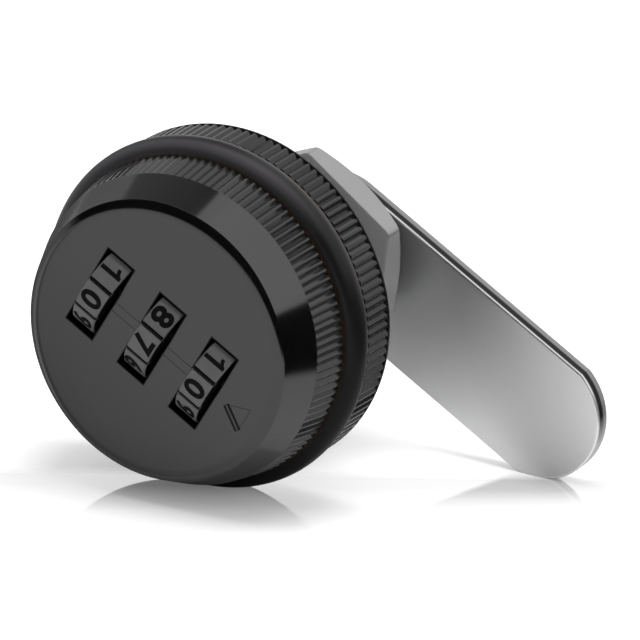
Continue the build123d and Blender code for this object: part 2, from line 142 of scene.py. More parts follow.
thread_root_radius = 0.00915
thread_crest_radius = 0.0095
thread_pitch = 0.001
thread_start = 0.0004
thread_end = 0.0208
ridge_share = 0.55
helix_steps = 72
flat_clearance = 0.00004
half_flats = 0.0082 - flat_clearance


def maths(tree, operation, first, second=0.0):
    """One maths node; each side is a socket or a plain number."""
    node = tree.nodes.new("ShaderNodeMath")
    node.operation = operation
    for socket, value in zip(node.inputs, (first, second)):
        if isinstance(value, float):
            socket.default_value = value
        else:
            tree.links.new(value, socket)
    return node.outputs[0]


def start_tree(name, sizes):
    """An empty Geometry Nodes tree with a named input for each size."""
    tree = bpy.data.node_groups.new(name, "GeometryNodeTree")
    face = tree.interface
    face.new_socket("Geometry", in_out="INPUT", socket_type="NodeSocketGeometry")
    for label, size in sizes.items():
        socket = face.new_socket(label, in_out="INPUT", socket_type="NodeSocketFloat")
        socket.default_value = size
    face.new_socket("Geometry", in_out="OUTPUT", socket_type="NodeSocketGeometry")
    return tree


def end_tree(tree, geometry, material):
    """Ends a tree: copies become real geometry, in one material."""
    real = tree.nodes.new("GeometryNodeRealizeInstances")
    paint = tree.nodes.new("GeometryNodeSetMaterial")
    paint.inputs["Material"].default_value = material
    result = tree.nodes.new("NodeGroupOutput")
    tree.links.new(geometry, real.inputs["Geometry"])
    tree.links.new(real.outputs["Geometry"], paint.inputs["Geometry"])
    tree.links.new(paint.outputs["Geometry"], result.inputs["Geometry"])


def build_thread_tree():
    """Geometry Nodes: a helix, a ridge swept along it, then trimmed to the barrel's flats."""
    tree = start_tree("barrel_thread", {
        "Root Radius": thread_root_radius,
        "Ridge Height": thread_crest_radius - thread_root_radius,
        "Pitch": thread_pitch,
        "Length": thread_end - thread_start,
        "Start": thread_start,
        "Half Flats": half_flats,
    })
    add = tree.nodes.new
    link = tree.links.new
    given = add("NodeGroupInput").outputs

    turns = maths(tree, "DIVIDE", given["Length"], given["Pitch"])
    helix = add("GeometryNodeCurveSpiral")
    helix.inputs["Resolution"].default_value = helix_steps
    link(turns, helix.inputs["Rotations"])
    link(given["Length"], helix.inputs["Height"])
    link(given["Root Radius"], helix.inputs["Start Radius"])
    link(given["Root Radius"], helix.inputs["End Radius"])

    # Ridge section: a triangle with its base sunk a little into the barrel
    corner = add("GeometryNodeCurvePrimitiveCircle")
    corner.inputs["Resolution"].default_value = 3
    corner.inputs["Radius"].default_value = 1.0
    shape = add("GeometryNodeTransform")
    size = add("ShaderNodeCombineXYZ")
    link(maths(tree, "MULTIPLY", given["Pitch"], ridge_share), size.inputs["X"])
    link(given["Ridge Height"], size.inputs["Y"])
    size.inputs["Z"].default_value = 1.0
    link(corner.outputs["Curve"], shape.inputs["Geometry"])
    link(size.outputs["Vector"], shape.inputs["Scale"])

    sweep = add("GeometryNodeCurveToMesh")
    sweep.inputs["Fill Caps"].default_value = True
    link(helix.outputs["Curve"], sweep.inputs["Curve"])
    link(shape.outputs["Geometry"], sweep.inputs["Profile Curve"])

    # The helix rises along Z; the barrel runs along +Y. Points past a flat go under it.
    spot = add("GeometryNodeInputPosition")
    parts = add("ShaderNodeSeparateXYZ")
    link(spot.outputs["Position"], parts.inputs["Vector"])
    low_flat = maths(tree, "MULTIPLY", given["Half Flats"], -1.0)
    under_high_flat = maths(tree, "MINIMUM", parts.outputs["Y"], given["Half Flats"])
    moved = add("ShaderNodeCombineXYZ")
    link(parts.outputs["X"], moved.inputs["X"])
    link(maths(tree, "MAXIMUM", under_high_flat, low_flat), moved.inputs["Y"])
    link(maths(tree, "ADD", parts.outputs["Z"], given["Start"]), moved.inputs["Z"])
    place_points = add("GeometryNodeSetPosition")
    link(sweep.outputs["Mesh"], place_points.inputs["Geometry"])
    link(moved.outputs["Vector"], place_points.inputs["Position"])
    end_tree(tree, place_points.outputs["Geometry"], coating)
    return tree


def finish_tree(name, tree, place):
    """Runs a Geometry Nodes tree once and keeps its result as a plain mesh."""
    holder = bpy.data.objects.new(name, bpy.data.meshes.new(name + "_empty"))
    bpy.context.collection.objects.link(holder)
    modifier = holder.modifiers.new("build", "NODES")
    modifier.node_group = tree
    evaluated = holder.evaluated_get(bpy.context.evaluated_depsgraph_get())
    mesh = bpy.data.meshes.new_from_object(evaluated)
    holder.modifiers.remove(modifier)
    mesh.transform(place)
    mesh.name = name
    holder.data = mesh
    return holder


# The dial row and the cam lie 30 degrees below +X: these two directions follow them
row_angle = math.radians(30.0)
along = Vector((math.cos(row_angle), 0.0, -math.sin(row_angle)))
across = Vector((math.sin(row_angle), 0.0, math.cos(row_angle)))
forward = Vector((0.0, -1.0, 0.0))


def turned(x_axis, y_axis, z_axis, origin=Vector((0.0, 0.0, 0.0))):
    """Matrix that lays a piece's own axes along the three directions given."""
    rotation = Matrix((x_axis, y_axis, z_axis)).transposed().to_4x4()
    return Matrix.Translation(origin) @ rotation


barrel_thread = finish_tree("barrel_thread", build_thread_tree(), turned(along, across, -forward))
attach(barrel_thread, "lock_base")


# Mounting nut: cold-formed steel with bright plating, its back corners turned off.
# The plating shows faint flow marks from forming.

def mix_colour(tree, amount, first, second):
    """Mixes two colours, each a socket or plain numbers, by an amount from 0 to 1."""
    node = tree.nodes.new("ShaderNodeMixRGB")
    tree.links.new(amount, node.inputs["Fac"])
    for name, colour in (("Color1", first), ("Color2", second)):
        if isinstance(colour, tuple):
            node.inputs[name].default_value = (*colour, 1.0)
        else:
            tree.links.new(colour, node.inputs[name])
    return node.outputs["Color"]


def split_axes(tree, vector):
    """The X, Y and Z of a position or a direction."""
    node = tree.nodes.new("ShaderNodeSeparateXYZ")
    tree.links.new(vector, node.inputs["Vector"])
    return node.outputs


plating, tree, shader, place = start_material("bright_plating", 0.32, metallic=0.6)
flow = add_noise(tree, place, size=0.003, stretch=(1.0, 3.0, 1.0))
pits = add_noise(tree, place, size=0.0002, detail=2.0)
tones = mix_colour(tree, flow, grey(0.245), grey(0.285))

# Painted light: the front face is given a paler colour than the hexagon's sides, and less of a mirror,
# so that it reads lighter
facing = split_axes(tree, tree.nodes.new("ShaderNodeNewGeometry").outputs["True Normal"])
painted_light_front = map_range(tree, facing["Y"], -0.9, -0.97)
tree.links.new(mix_colour(tree, painted_light_front, tones, grey(0.5)), shader.inputs["Base Color"])
tree.links.new(map_range(tree, painted_light_front, 0.0, 1.0, 0.6, 0.35), shader.inputs["Metallic"])
tree.links.new(add_range(tree, flow, 0.28, 0.36), shader.inputs["Roughness"])
soft_bump(tree, shader, pits, height=0.0000008, edge_radius=0.00012)
dress(plating, "mounting_nut")


# Knob housing: die-cast in zinc and coated like the base. Between two windows a pair of fine
# lines marks where the opening numbers line up, and an engraved triangle points at them.

row_shift = (-0.00044, 0.00024)
wheel_pitch = 0.0075
half_window_run = 0.00186
half_window_rise = 0.0052
windows_reach = 0.0116
# Reach of the painted shade along the windows' edges
window_shade_full = 0.00006
window_shade_end = 0.00022
well_radius = 0.0139
face_back = -0.01666
bevel_start = 0.0152
brow_start = 0.0157
brow_top = 0.0167
knurl_front = -0.01226
# Where the painted shade on the bevel's left limb and the brow's left half lies
painted_limb_way = (-0.94, 0.0, -0.34)
painted_limb_start = 0.0048
painted_limb_full = 0.0085
brow_shade_full = 0.008


def along_direction(tree, vector, direction):
    """How far a position or a normal reaches along a direction."""
    node = tree.nodes.new("ShaderNodeVectorMath")
    node.operation = "DOT_PRODUCT"
    node.inputs[1].default_value = direction
    tree.links.new(vector, node.inputs[0])
    return node.outputs["Value"]


def distance_from_axis(tree, parts):
    """How far a place, split into X, Y and Z, is from the lock's axis."""
    flat_place = tree.nodes.new("ShaderNodeCombineXYZ")
    tree.links.new(parts["X"], flat_place.inputs["X"])
    tree.links.new(parts["Z"], flat_place.inputs["Z"])
    node = tree.nodes.new("ShaderNodeVectorMath")
    node.operation = "LENGTH"
    tree.links.new(flat_place.outputs["Vector"], node.inputs[0])
    return node.outputs["Value"]


knob_coating, tree, shader, place = black_coating("knob_coating")
parts = split_axes(tree, place)
reach = distance_from_axis(tree, parts)
to_left = along_direction(tree, place, painted_limb_way)

# Painted shade: the well behind the face is left without shine
near_axis = maths(tree, "LESS_THAN", reach, well_radius)
well_painted_shade = maths(tree, "MULTIPLY", near_axis, maths(tree, "GREATER_THAN", parts["Y"], face_back))

# Painted shade: the windows' edges are left without shine too
along_row = maths(tree, "SUBTRACT", along_direction(tree, place, along), row_shift[0])
run = maths(tree, "PINGPONG", along_row, wheel_pitch / 2)
across_row = maths(tree, "SUBTRACT", along_direction(tree, place, across), row_shift[1])
rise = maths(tree, "ABSOLUTE", across_row)
past_run = maths(tree, "SUBTRACT", run, half_window_run)
past_rise = maths(tree, "SUBTRACT", rise, half_window_rise)
from_edge = maths(tree, "MAXIMUM", past_run, past_rise)
near_edge = map_range(tree, from_edge, window_shade_end, window_shade_full)
in_row = map_range(tree, reach, windows_reach + 0.0002, windows_reach)
window_rim_painted_shade = maths(tree, "MULTIPLY", near_edge, in_row)

# Painted shade: the bevel's far left limb loses its reflection and gets a flat painted grey in its
# place, and the brow's left half loses part of its shine. The knurl is duller and a little paler all
# round
far_left = map_range(tree, to_left, painted_limb_start, painted_limb_full)
painted_limb = maths(tree, "MULTIPLY", far_left, map_range(tree, reach, bevel_start, bevel_start + 0.0002))
in_knurl = map_range(tree, parts["Y"], knurl_front, knurl_front + 0.00006)
left_half = map_range(tree, to_left, 0.0, brow_shade_full)
brow_painted_shade = maths(tree, "MULTIPLY", map_range(tree, reach, brow_start, brow_top), left_half)
knurl_and_painted_brow = maths(tree, "MAXIMUM", in_knurl, brow_painted_shade)
satin_with_painted_brow = map_range(tree, knurl_and_painted_brow, 0.0, 1.0, 0.5, 0.24)
# Painted shade: the well, the windows' edges and the bevel's left limb keep almost no shine
painted_shade_parts = maths(tree, "MAXIMUM", maths(tree, "MAXIMUM", well_painted_shade, window_rim_painted_shade), painted_limb)
painted_shine = maths(tree, "MULTIPLY", satin_with_painted_brow, map_range(tree, painted_shade_parts, 0.0, 1.0, 1.0, 0.04))
tree.links.new(painted_shine, shader.inputs["Specular IOR Level"])

plain_tone = shader.inputs["Base Color"].links[0].from_socket
knurl_tone = mix_colour(tree, in_knurl, plain_tone, grey(0.014))
# Painted reflection: the bevel's left limb gets a flat grey in place of its reflection
tree.links.new(mix_colour(tree, painted_limb, knurl_tone, grey(0.06)), shader.inputs["Base Color"])
plain_roughness = shader.inputs["Roughness"].links[0].from_socket
roughened = maths(tree, "MAXIMUM", plain_roughness, maths(tree, "MULTIPLY", painted_limb, 0.8))
tree.links.new(roughened, shader.inputs["Roughness"])
dress(knob_coating, "knob_housing")

face_height = 0.0167
line_lift = 0.00002
lines_across = (-0.00034, 0.00076)
line_width = 0.00007
line_spans = ((-0.00608, -0.0023), (0.00142, 0.0052))
arrow_tip = (0.01043, 0.00011)
arrow_base_low = (0.01308, -0.00148)
arrow_base_high = (0.01308, 0.00161)
groove_width = 0.00078
groove_rows = 4


def face_strip(mesh, start, end, width, rows=1):
    """Adds a strip on the knob's face, `rows` faces wide, with its width as the V of a UV map."""
    start, end = Vector(start), Vector(end)
    side = Vector((-(end - start).y, (end - start).x)).normalized() * width / 2
    uv = mesh.loops.layers.uv.get("UVMap") or mesh.loops.layers.uv.new("UVMap")
    last = None
    for row in range(rows + 1):
        share = row / rows
        pair = []
        for point in (start, end):
            flat = point - side + 2 * share * side
            spot = along * flat.x + across * flat.y + forward * (face_height + line_lift)
            pair.append(mesh.verts.new(spot))
        if last:
            quad = mesh.faces.new((last[1], last[0], pair[0], pair[1]))
            for loop, v in zip(quad.loops, (row - 1, row - 1, row, row)):
                loop[uv].uv = (0.5, v / rows)
        last = pair


def keep_mesh(name, mesh, material):
    """Turns a bmesh into an object with one material."""
    data = bpy.data.meshes.new(name)
    mesh.to_mesh(data)
    mesh.free()
    data.materials.append(material)
    piece = bpy.data.objects.new(name, data)
    bpy.context.collection.objects.link(piece)
    return piece


def grey_ramp(tree, value, stops, interpolation="LINEAR"):
    """Greys along a value, each stop a place from 0 to 1 and a level."""
    node = tree.nodes.new("ShaderNodeValToRGB")
    ramp = node.color_ramp
    ramp.interpolation = interpolation
    for end, (spot, level) in zip(ramp.elements, (stops[0], stops[-1])):
        end.position = spot
        end.color = (*grey(level), 1.0)
    for spot, level in stops[1:-1]:
        stop = ramp.elements.new(spot)
        stop.color = (*grey(level), 1.0)
    tree.links.new(value, node.inputs["Fac"])
    return node.outputs["Color"]


def uv_parts(tree):
    """The U, as X, and the V, as Y, of a piece's own UV map."""
    node = tree.nodes.new("ShaderNodeUVMap")
    node.uv_map = "UVMap"
    return split_axes(tree, node.outputs["UV"])


# The triangle's long lower side is a wide groove, drawn as a flat strip with painted shade along its
# two walls and a paler floor between
groove_shade, tree, shader, place = start_material("groove_shadow", 0.5)
shader.inputs["Specular IOR Level"].default_value = 0.1
painted_wall_shade = ((0.0, 0.006), (0.34, 0.012), (0.44, 0.08), (0.56, 0.08), (0.66, 0.012), (1.0, 0.006))
tree.links.new(grey_ramp(tree, uv_parts(tree)["Y"], painted_wall_shade), shader.inputs["Base Color"])

fine_line, tree, shader, place = black_coating("fine_line_coating", dark=0.006, light=0.01)
shader.inputs["Specular IOR Level"].default_value = 0.26
marks = bmesh.new()
for line_across in lines_across:
    for line_start, line_end in line_spans:
        face_strip(marks, (line_start, line_across), (line_end, line_across), line_width)
face_strip(marks, arrow_base_low, arrow_base_high, line_width)
face_strip(marks, arrow_base_high, arrow_tip, line_width)
index_marks = keep_mesh("index_marks", marks, fine_line)
# The groove's shade is painted on a flat strip lying on the face
wide_groove = bmesh.new()
face_strip(wide_groove, arrow_tip, arrow_base_low, groove_width, groove_rows)
arrow_groove_shade = keep_mesh("arrow_groove_shade", wide_groove, groove_shade)
for mark in (arrow_groove_shade, index_marks):
    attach(mark, "knob")


# Rubber ring: moulded black rubber, smooth, with a painted highlight on the upper part of its crown
# and brown rub marks where it meets the knob and the flange.

ring_front = -0.0076
ring_crown_end = -0.0059
# Where the painted highlight lies on the ring
highlight_way = (-0.3, 0.0, 0.95)
highlight_start = 0.005
highlight_full = 0.0165
knob_rub_radius = 0.0185
flange_rub_line = 0.00515
flange_rub_full = 0.0001
flange_rub_end = 0.0004
painted_shine_low = -0.004
painted_shine_high = 0.008

rubber, tree, shader, place = start_material("black_rubber", 0.36)
mottle = add_noise(tree, place, size=0.002)
skin = add_noise(tree, place, size=0.00015, detail=2.0)
tones = mix_colour(tree, mottle, (0.0055, 0.0048, 0.0052), (0.008, 0.007, 0.0078))
parts = split_axes(tree, place)

# A painted highlight lies on the crown, and only on the upper part of the ring
section = map_range(tree, parts["Y"], ring_front, ring_crown_end)
crown = grey_ramp(tree, section, ((0.0, 0.1), (0.15, 1.0), (0.4, 1.0), (0.7, 0.1)), "B_SPLINE")
to_top = along_direction(tree, place, highlight_way)
upper = map_range(tree, to_top, highlight_start, highlight_full, smooth=True)
painted_highlight = maths(tree, "MULTIPLY", crown, upper)
with_painted_highlight = mix_colour(tree, painted_highlight, tones, (0.052, 0.049, 0.053))

# Brown rub marks: a patchy band beside the knob and a thin line beside the flange
knob_rub = map_range(tree, distance_from_axis(tree, parts), knob_rub_radius, knob_rub_radius - 0.0003)
from_line = maths(tree, "ABSOLUTE", maths(tree, "ADD", parts["Y"], flange_rub_line))
flange_rub = map_range(tree, from_line, flange_rub_end, flange_rub_full)
rubbed = maths(tree, "MAXIMUM", knob_rub, flange_rub)
patches = add_range(tree, add_noise(tree, place, size=0.0009), 0.25, 1.0)
rubbed_over_painted_highlight = mix_colour(tree, maths(tree, "MULTIPLY", rubbed, patches), with_painted_highlight, (0.06, 0.03, 0.013))
tree.links.new(rubbed_over_painted_highlight, shader.inputs["Base Color"])
# Painted reflection: the rubber's shine fades towards the bottom of the ring
painted_shine = map_range(tree, parts["Z"], painted_shine_low, painted_shine_high, 0.12, 0.22)
tree.links.new(painted_shine, shader.inputs["Specular IOR Level"])
soft_bump(tree, shader, skin, height=0.000001, edge_radius=0.0001)
dress(rubber, "seal_ring")


# Number wheels: moulded grey plastic, ten pads with grooves between them whose shade is painted black,
# and black printed numbers. Each rides on its own body.

wheel_plastic, tree, shader, place = start_material("grey_wheel_plastic", 0.45)
mottle = add_noise(tree, place, size=0.0012)
skin = add_noise(tree, place, size=0.0001, detail=2.0)
tones = mix_colour(tree, mottle, grey(0.086), grey(0.1))

# The wheels' flat sides are black and dull, their pads grey
normal = tree.nodes.new("ShaderNodeNewGeometry").outputs["True Normal"]
sideways = maths(tree, "ABSOLUTE", along_direction(tree, normal, along))
is_side = map_range(tree, sideways, 0.8, 0.9)
tree.links.new(mix_colour(tree, is_side, tones, grey(0.004)), shader.inputs["Base Color"])
tree.links.new(map_range(tree, is_side, 0.0, 1.0, 0.5, 0.05), shader.inputs["Specular IOR Level"])
soft_bump(tree, shader, skin, height=0.000001, edge_radius=0.00008)
dress(wheel_plastic, "number_wheel_1", "number_wheel_2", "number_wheel_3")

# Printed numbers; the same black also paints the shade in the wheels' grooves
ink_and_groove_shade, tree, shader, place = start_material("ink_and_groove_shade", 0.6)
shader.inputs["Specular IOR Level"].default_value = 0.05
ink_wear = add_noise(tree, place, size=0.0003)
colour_between(tree, shader, ink_wear, grey(0.003), grey(0.006))

wheel_radius = 0.00605
axle_height = 0.0125
pad_turn = math.radians(36.0)
digit_height = 0.0027
digit_width = 0.00186
digit_bold = 0.034
bend_step = 0.0002
bend_cuts = 4
ink_lift = 0.00002
shown_numbers = (0, 7, 0)


def wheel_axis(number):
    """Centre of a number wheel; wheel 2 is in the middle of the dial row."""
    run = row_shift[0] + (number - 2) * wheel_pitch
    return along * run + across * row_shift[1] + forward * axle_height


def flat_one():
    """The figure one: a plain stem with a bent flag, drawn because the font's is a bare bar."""
    outline = ((0.1, 0.5), (-0.03, 0.5), (-0.1, 0.4), (-0.2, 0.33), (-0.3, 0.3), (-0.3, 0.15),
               (-0.18, 0.17), (-0.08, 0.23), (-0.08, -0.5), (0.1, -0.5))
    stem = bmesh.new()
    corners = [stem.verts.new((x * digit_height, y * digit_height, 0.0)) for x, y in reversed(outline)]
    stem.faces.new(corners)
    bmesh.ops.triangulate(stem, faces=stem.faces)
    data = bpy.data.meshes.new("one")
    stem.to_mesh(data)
    stem.free()
    return data


def flat_digit(digit):
    """Outline of one digit, filled, centred, and brought to the digit's height and width."""
    if digit == 1:
        return flat_one()
    curve = bpy.data.curves.new("digit", "FONT")
    curve.body = str(digit)
    curve.offset = digit_bold
    curve.resolution_u = 6
    writer = bpy.data.objects.new("digit", curve)
    bpy.context.collection.objects.link(writer)
    view = bpy.context.evaluated_depsgraph_get()
    data = bpy.data.meshes.new_from_object(writer.evaluated_get(view))
    bpy.data.objects.remove(writer)
    low = [min(v.co[axis] for v in data.vertices) for axis in (0, 1)]
    high = [max(v.co[axis] for v in data.vertices) for axis in (0, 1)]
    tall = digit_height / (high[1] - low[1])
    wide = digit_width / (high[0] - low[0])
    for vertex in data.vertices:
        x = (vertex.co.x - (low[0] + high[0]) / 2) * wide
        y = (vertex.co.y - (low[1] + high[1]) / 2) * tall
        vertex.co = (x, y, 0.0)
    return data


for wheel_number, shown in enumerate(shown_numbers, start=1):
    numbers = bmesh.new()
    for digit in range(10):
        piece = bmesh.new()
        piece.from_mesh(flat_digit(digit))
        # Cuts across the digit let it bend round the wheel
        for cut in range(-bend_cuts, bend_cuts + 1):
            geometry = piece.verts[:] + piece.edges[:] + piece.faces[:]
            spot = (cut * bend_step, 0, 0)
            bmesh.ops.bisect_plane(piece, geom=geometry, plane_co=spot, plane_no=(1, 0, 0))
        # A digit's right side points towards -across, and the next higher digit lies towards +across
        pad_angle = pad_turn * (digit - shown)
        radius = wheel_radius + ink_lift
        for vertex in piece.verts:
            angle = pad_angle - vertex.co.x / wheel_radius
            vertex.co = (
                wheel_axis(wheel_number)
                + along * vertex.co.y
                + across * radius * math.sin(angle)
                + forward * radius * math.cos(angle)
            )
        data = bpy.data.meshes.new("pad")
        piece.to_mesh(data)
        piece.free()
        numbers.from_mesh(data)
    bmesh.ops.remove_doubles(numbers, verts=numbers.verts, dist=1e-7)
    printed = keep_mesh(f"wheel_{wheel_number}_numbers", numbers, ink_and_groove_shade)
    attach(printed, f"wheel_{wheel_number}")


# Painted shade: a thin black bar stands in each groove between two pads, in place of the groove's
# shade.

def build_divider_tree():
    """Geometry Nodes: ten bars of painted groove shade set on a circle, each with its depth along the
    radius.
    """
    tree = start_tree("wheel_dividers", {
        "Middle Radius": 0.00579,
        "Bar Depth": 0.00038,
        "Bar Width": 0.00022,
        "Bar Length": 0.00296,
    })
    add = tree.nodes.new
    link = tree.links.new
    given = add("NodeGroupInput").outputs
    circle = add("GeometryNodeMeshCircle")
    circle.inputs["Vertices"].default_value = 10
    link(given["Middle Radius"], circle.inputs["Radius"])
    bar = add("GeometryNodeMeshCube")
    size = add("ShaderNodeCombineXYZ")
    link(given["Bar Depth"], size.inputs["X"])
    link(given["Bar Width"], size.inputs["Y"])
    link(given["Bar Length"], size.inputs["Z"])
    link(size.outputs["Vector"], bar.inputs["Size"])
    spot = add("GeometryNodeInputPosition")
    aim = add("FunctionNodeAlignRotationToVector")
    aim.axis = "X"
    aim.pivot_axis = "Z"
    link(spot.outputs["Position"], aim.inputs["Vector"])
    copies = add("GeometryNodeInstanceOnPoints")
    link(circle.outputs["Mesh"], copies.inputs["Points"])
    link(bar.outputs["Mesh"], copies.inputs["Instance"])
    link(aim.outputs["Rotation"], copies.inputs["Rotation"])
    end_tree(tree, copies.outputs["Instances"], ink_and_groove_shade)
    return tree


groove_shade_tree = build_divider_tree()
for wheel_number in (1, 2, 3):
    place_on_axle = turned(across, forward, along, wheel_axis(wheel_number))
    groove_shade_bars = finish_tree(f"wheel_{wheel_number}_dividers", groove_shade_tree, place_on_axle)
    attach(groove_shade_bars, f"wheel_{wheel_number}")


# Works inside the knob, and the cam's washer and screw: pressed frame, axle, clips, sleeves,
# bar, springs and screws. Steel pieces are zinc plated or bare spring steel, the sleeves are
# turned brass, and the spindle is a bare zinc casting.

plated, tree, shader, place = start_material("zinc_plated_steel", 0.3, metallic=1.0)
spangle = add_noise(tree, place, size=0.0015)
pits = add_noise(tree, place, size=0.0001, detail=2.0)
colour_between(tree, shader, spangle, (0.46, 0.47, 0.48), (0.56, 0.56, 0.56))
tree.links.new(add_range(tree, spangle, 0.25, 0.36), shader.inputs["Roughness"])
soft_bump(tree, shader, pits, height=0.000001, edge_radius=0.00008)
dress(plated, "wheel_frame", "wheel_axle", "locking_bar", "frame_screw_1", "frame_screw_2",
      "frame_screw_3", "frame_screw_4", "cam_washer", "cam_screw")

spring_steel, tree, shader, place = start_material("spring_steel", 0.28, metallic=1.0)
drawn = add_noise(tree, place, size=0.0004)
colour_between(tree, shader, drawn, (0.34, 0.34, 0.35), (0.44, 0.44, 0.44))
soft_bump(tree, shader, drawn, height=0.000001, edge_radius=0.00005)
dress(spring_steel, "axle_clip_1", "axle_clip_2", "bar_spring_1", "bar_spring_2", "detent_spring")

brass, tree, shader, place = start_material("turned_brass", 0.25, metallic=1.0)
turning = add_noise(tree, place, size=0.0006)
colour_between(tree, shader, turning, (0.62, 0.44, 0.18), (0.72, 0.52, 0.24))
soft_bump(tree, shader, turning, height=0.000001, edge_radius=0.00006)
dress(brass, "clutch_sleeve_1", "clutch_sleeve_2", "clutch_sleeve_3")

bare_zinc, tree, shader, place = start_material("bare_zinc_casting", 0.45, metallic=1.0)
skin = add_noise(tree, place, size=0.001)
colour_between(tree, shader, skin, (0.3, 0.3, 0.31), (0.38, 0.38, 0.39))
soft_bump(tree, shader, skin, height=0.000003, edge_radius=0.00008)
dress(bare_zinc, "spindle")


# Cam: stamped stainless plate, tumbled and polished, square hole over the spindle's end.
# Faint rolling marks run along it.

cam_front = 0.0217
cam_depth = 0.0028
cam_half = 0.00765
cam_reach = 0.0385
cam_tip_radius = 0.0079
cam_hole_half = 0.00355
cam_front_round = 0.0003
cam_back_round = 0.0011
end_steps = 32
front_round_steps = 6
back_round_steps = 8

stainless, tree, shader, place = start_material("polished_stainless", 0.3, metallic=1.0)
shader.inputs["Specular IOR Level"].default_value = 0.1
turn_to_row = tree.nodes.new("ShaderNodeMapping")
turn_to_row.inputs["Rotation"].default_value = (0.0, -row_angle, 0.0)
tree.links.new(place, turn_to_row.inputs["Vector"])
rolled = add_noise(tree, turn_to_row.outputs["Vector"], size=0.0003, stretch=(40.0, 1.0, 1.0))
cloud = add_noise(tree, place, size=0.006)
tones = mix_colour(tree, cloud, (0.93, 0.93, 0.935), (0.97, 0.97, 0.975))
normal = tree.nodes.new("ShaderNodeNewGeometry").outputs["Normal"]
facing = split_axes(tree, normal)
tree.links.new(map_range(tree, facing["Y"], -1.0, -0.97, 0.46, 0.3), shader.inputs["Roughness"])

# The sheared edge is an even grey; on its upper side a dark band between two lighter ones is a painted
# reflection
sheared = map_range(tree, facing["Y"], -0.75, -0.1)
into_edge = map_range(tree, split_axes(tree, place)["Y"], cam_front, cam_front + cam_depth)
painted_reflection_stops = ((0.0, 0.16), (0.11, 0.16), (0.14, 0.004), (0.38, 0.004), (0.46, 0.2), (1.0, 0.2))
painted_edge_reflection = grey_ramp(tree, into_edge, painted_reflection_stops)
long_edge = map_range(tree, along_direction(tree, normal, across), 0.2, 0.6)
edge_grey_and_painted_reflection = mix_colour(tree, long_edge, grey(0.42), painted_edge_reflection)
tree.links.new(mix_colour(tree, sheared, tones, edge_grey_and_painted_reflection), shader.inputs["Base Color"])
tree.links.new(map_range(tree, sheared, 0.0, 1.0, 1.0, 0.3), shader.inputs["Metallic"])
soft_bump(tree, shader, rolled, height=0.0000004, edge_radius=0.0001)
dress(stainless, "cam")


def cam_outline(inset):
    """The cam's outline along and across the row, moved inwards by `inset`."""
    half = cam_half - inset
    radius = cam_tip_radius - inset
    centre = cam_reach - cam_tip_radius
    turn = math.asin(half / radius)
    points = []
    for step in range(end_steps + 1):
        angle = math.pi / 2 + math.pi * step / end_steps
        points.append((half * math.cos(angle), half * math.sin(angle)))
    for step in range(end_steps + 1):
        angle = -turn + 2 * turn * step / end_steps
        points.append((centre + radius * math.cos(angle), radius * math.sin(angle)))
    return points


def build_cam():
    """Rings of points down the plate's rounded edge, capped round the square hole."""
    plate = bmesh.new()
    sections = []
    for step in range(front_round_steps + 1):
        angle = math.pi / 2 * step / front_round_steps
        inset = cam_front_round * (1 - math.sin(angle))
        sections.append((inset, cam_front_round * (1 - math.cos(angle))))
    for step in range(back_round_steps + 1):
        angle = math.pi / 2 * step / back_round_steps
        inset = cam_back_round * (1 - math.cos(angle))
        sections.append((inset, cam_depth - cam_back_round * (1 - math.sin(angle))))
    corners = [(x * cam_hole_half, y * cam_hole_half) for x, y in ((-1, -1), (1, -1), (1, 1), (-1, 1))]

    def ring(points, depth):
        """One loop of vertices at a depth behind the cam's front face."""
        level = -(cam_front + depth)
        return [plate.verts.new(along * x + across * y + forward * level) for x, y in points]

    def wall(first, second):
        """Faces between two loops of the same length."""
        for at in range(len(first)):
            after = (at + 1) % len(first)
            plate.faces.new((first[at], first[after], second[after], second[at]))

    rings = [ring(cam_outline(inset), depth) for inset, depth in sections]
    for first, second in zip(rings, rings[1:]):
        wall(first, second)
    hole_front = ring(corners, 0.0)
    hole_back = ring(corners, cam_depth)
    wall(hole_front, hole_back)
    for outer, inner in ((rings[0], hole_front), (rings[-1], hole_back)):
        rims = []
        for loop in (outer, inner):
            rims += [plate.edges.get((loop[at - 1], loop[at])) for at in range(len(loop))]
        bmesh.ops.triangle_fill(plate, use_beauty=True, edges=rims)
    bmesh.ops.recalc_face_normals(plate, faces=plate.faces)
    for face in plate.faces:
        face.smooth = True
    piece = keep_mesh("cam_plate", plate, stainless)
    piece.data.set_sharp_from_angle(angle=math.radians(12.0))
    return piece


cam_plate = build_cam()
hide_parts("cam")
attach(cam_plate, "knob")


# Studio: a pale floor that the ring's foot and the cam's tip rest on, a white surround, an
# overhead soft box, and cards that show only in reflections. Most are dark, because the satin
# coating in the photograph mirrors dark surroundings.

floor_half_size = 1.5
floor_front = Vector((0.0, -0.0059, -0.02003))
floor_back = Vector((0.0, 0.0245, -0.0232))
floor_tilt = math.atan2(floor_back.z - floor_front.z, floor_back.y - floor_front.y)

floor_mesh = bmesh.new()
bmesh.ops.create_grid(floor_mesh, x_segments=1, y_segments=1, size=floor_half_size)
floor_data = bpy.data.meshes.new("studio_floor")
floor_mesh.to_mesh(floor_data)
floor_mesh.free()
studio_floor = bpy.data.objects.new("studio_floor", floor_data)
bpy.context.collection.objects.link(studio_floor)
studio_floor.matrix_world = Matrix.Translation(floor_front) @ Matrix.Rotation(floor_tilt, 4, "X")

floor_lit_end = 0.05
floor_dark_start = 0.062
mirror_way = Vector((159.0, -188.0, 0.0)).normalized()
mirror_start = -0.008123
mirror_end = 0.022744

floor_material, tree, shader, place = start_material("pale_floor", 0.5)
shader.inputs["Specular IOR Level"].default_value = 0.0

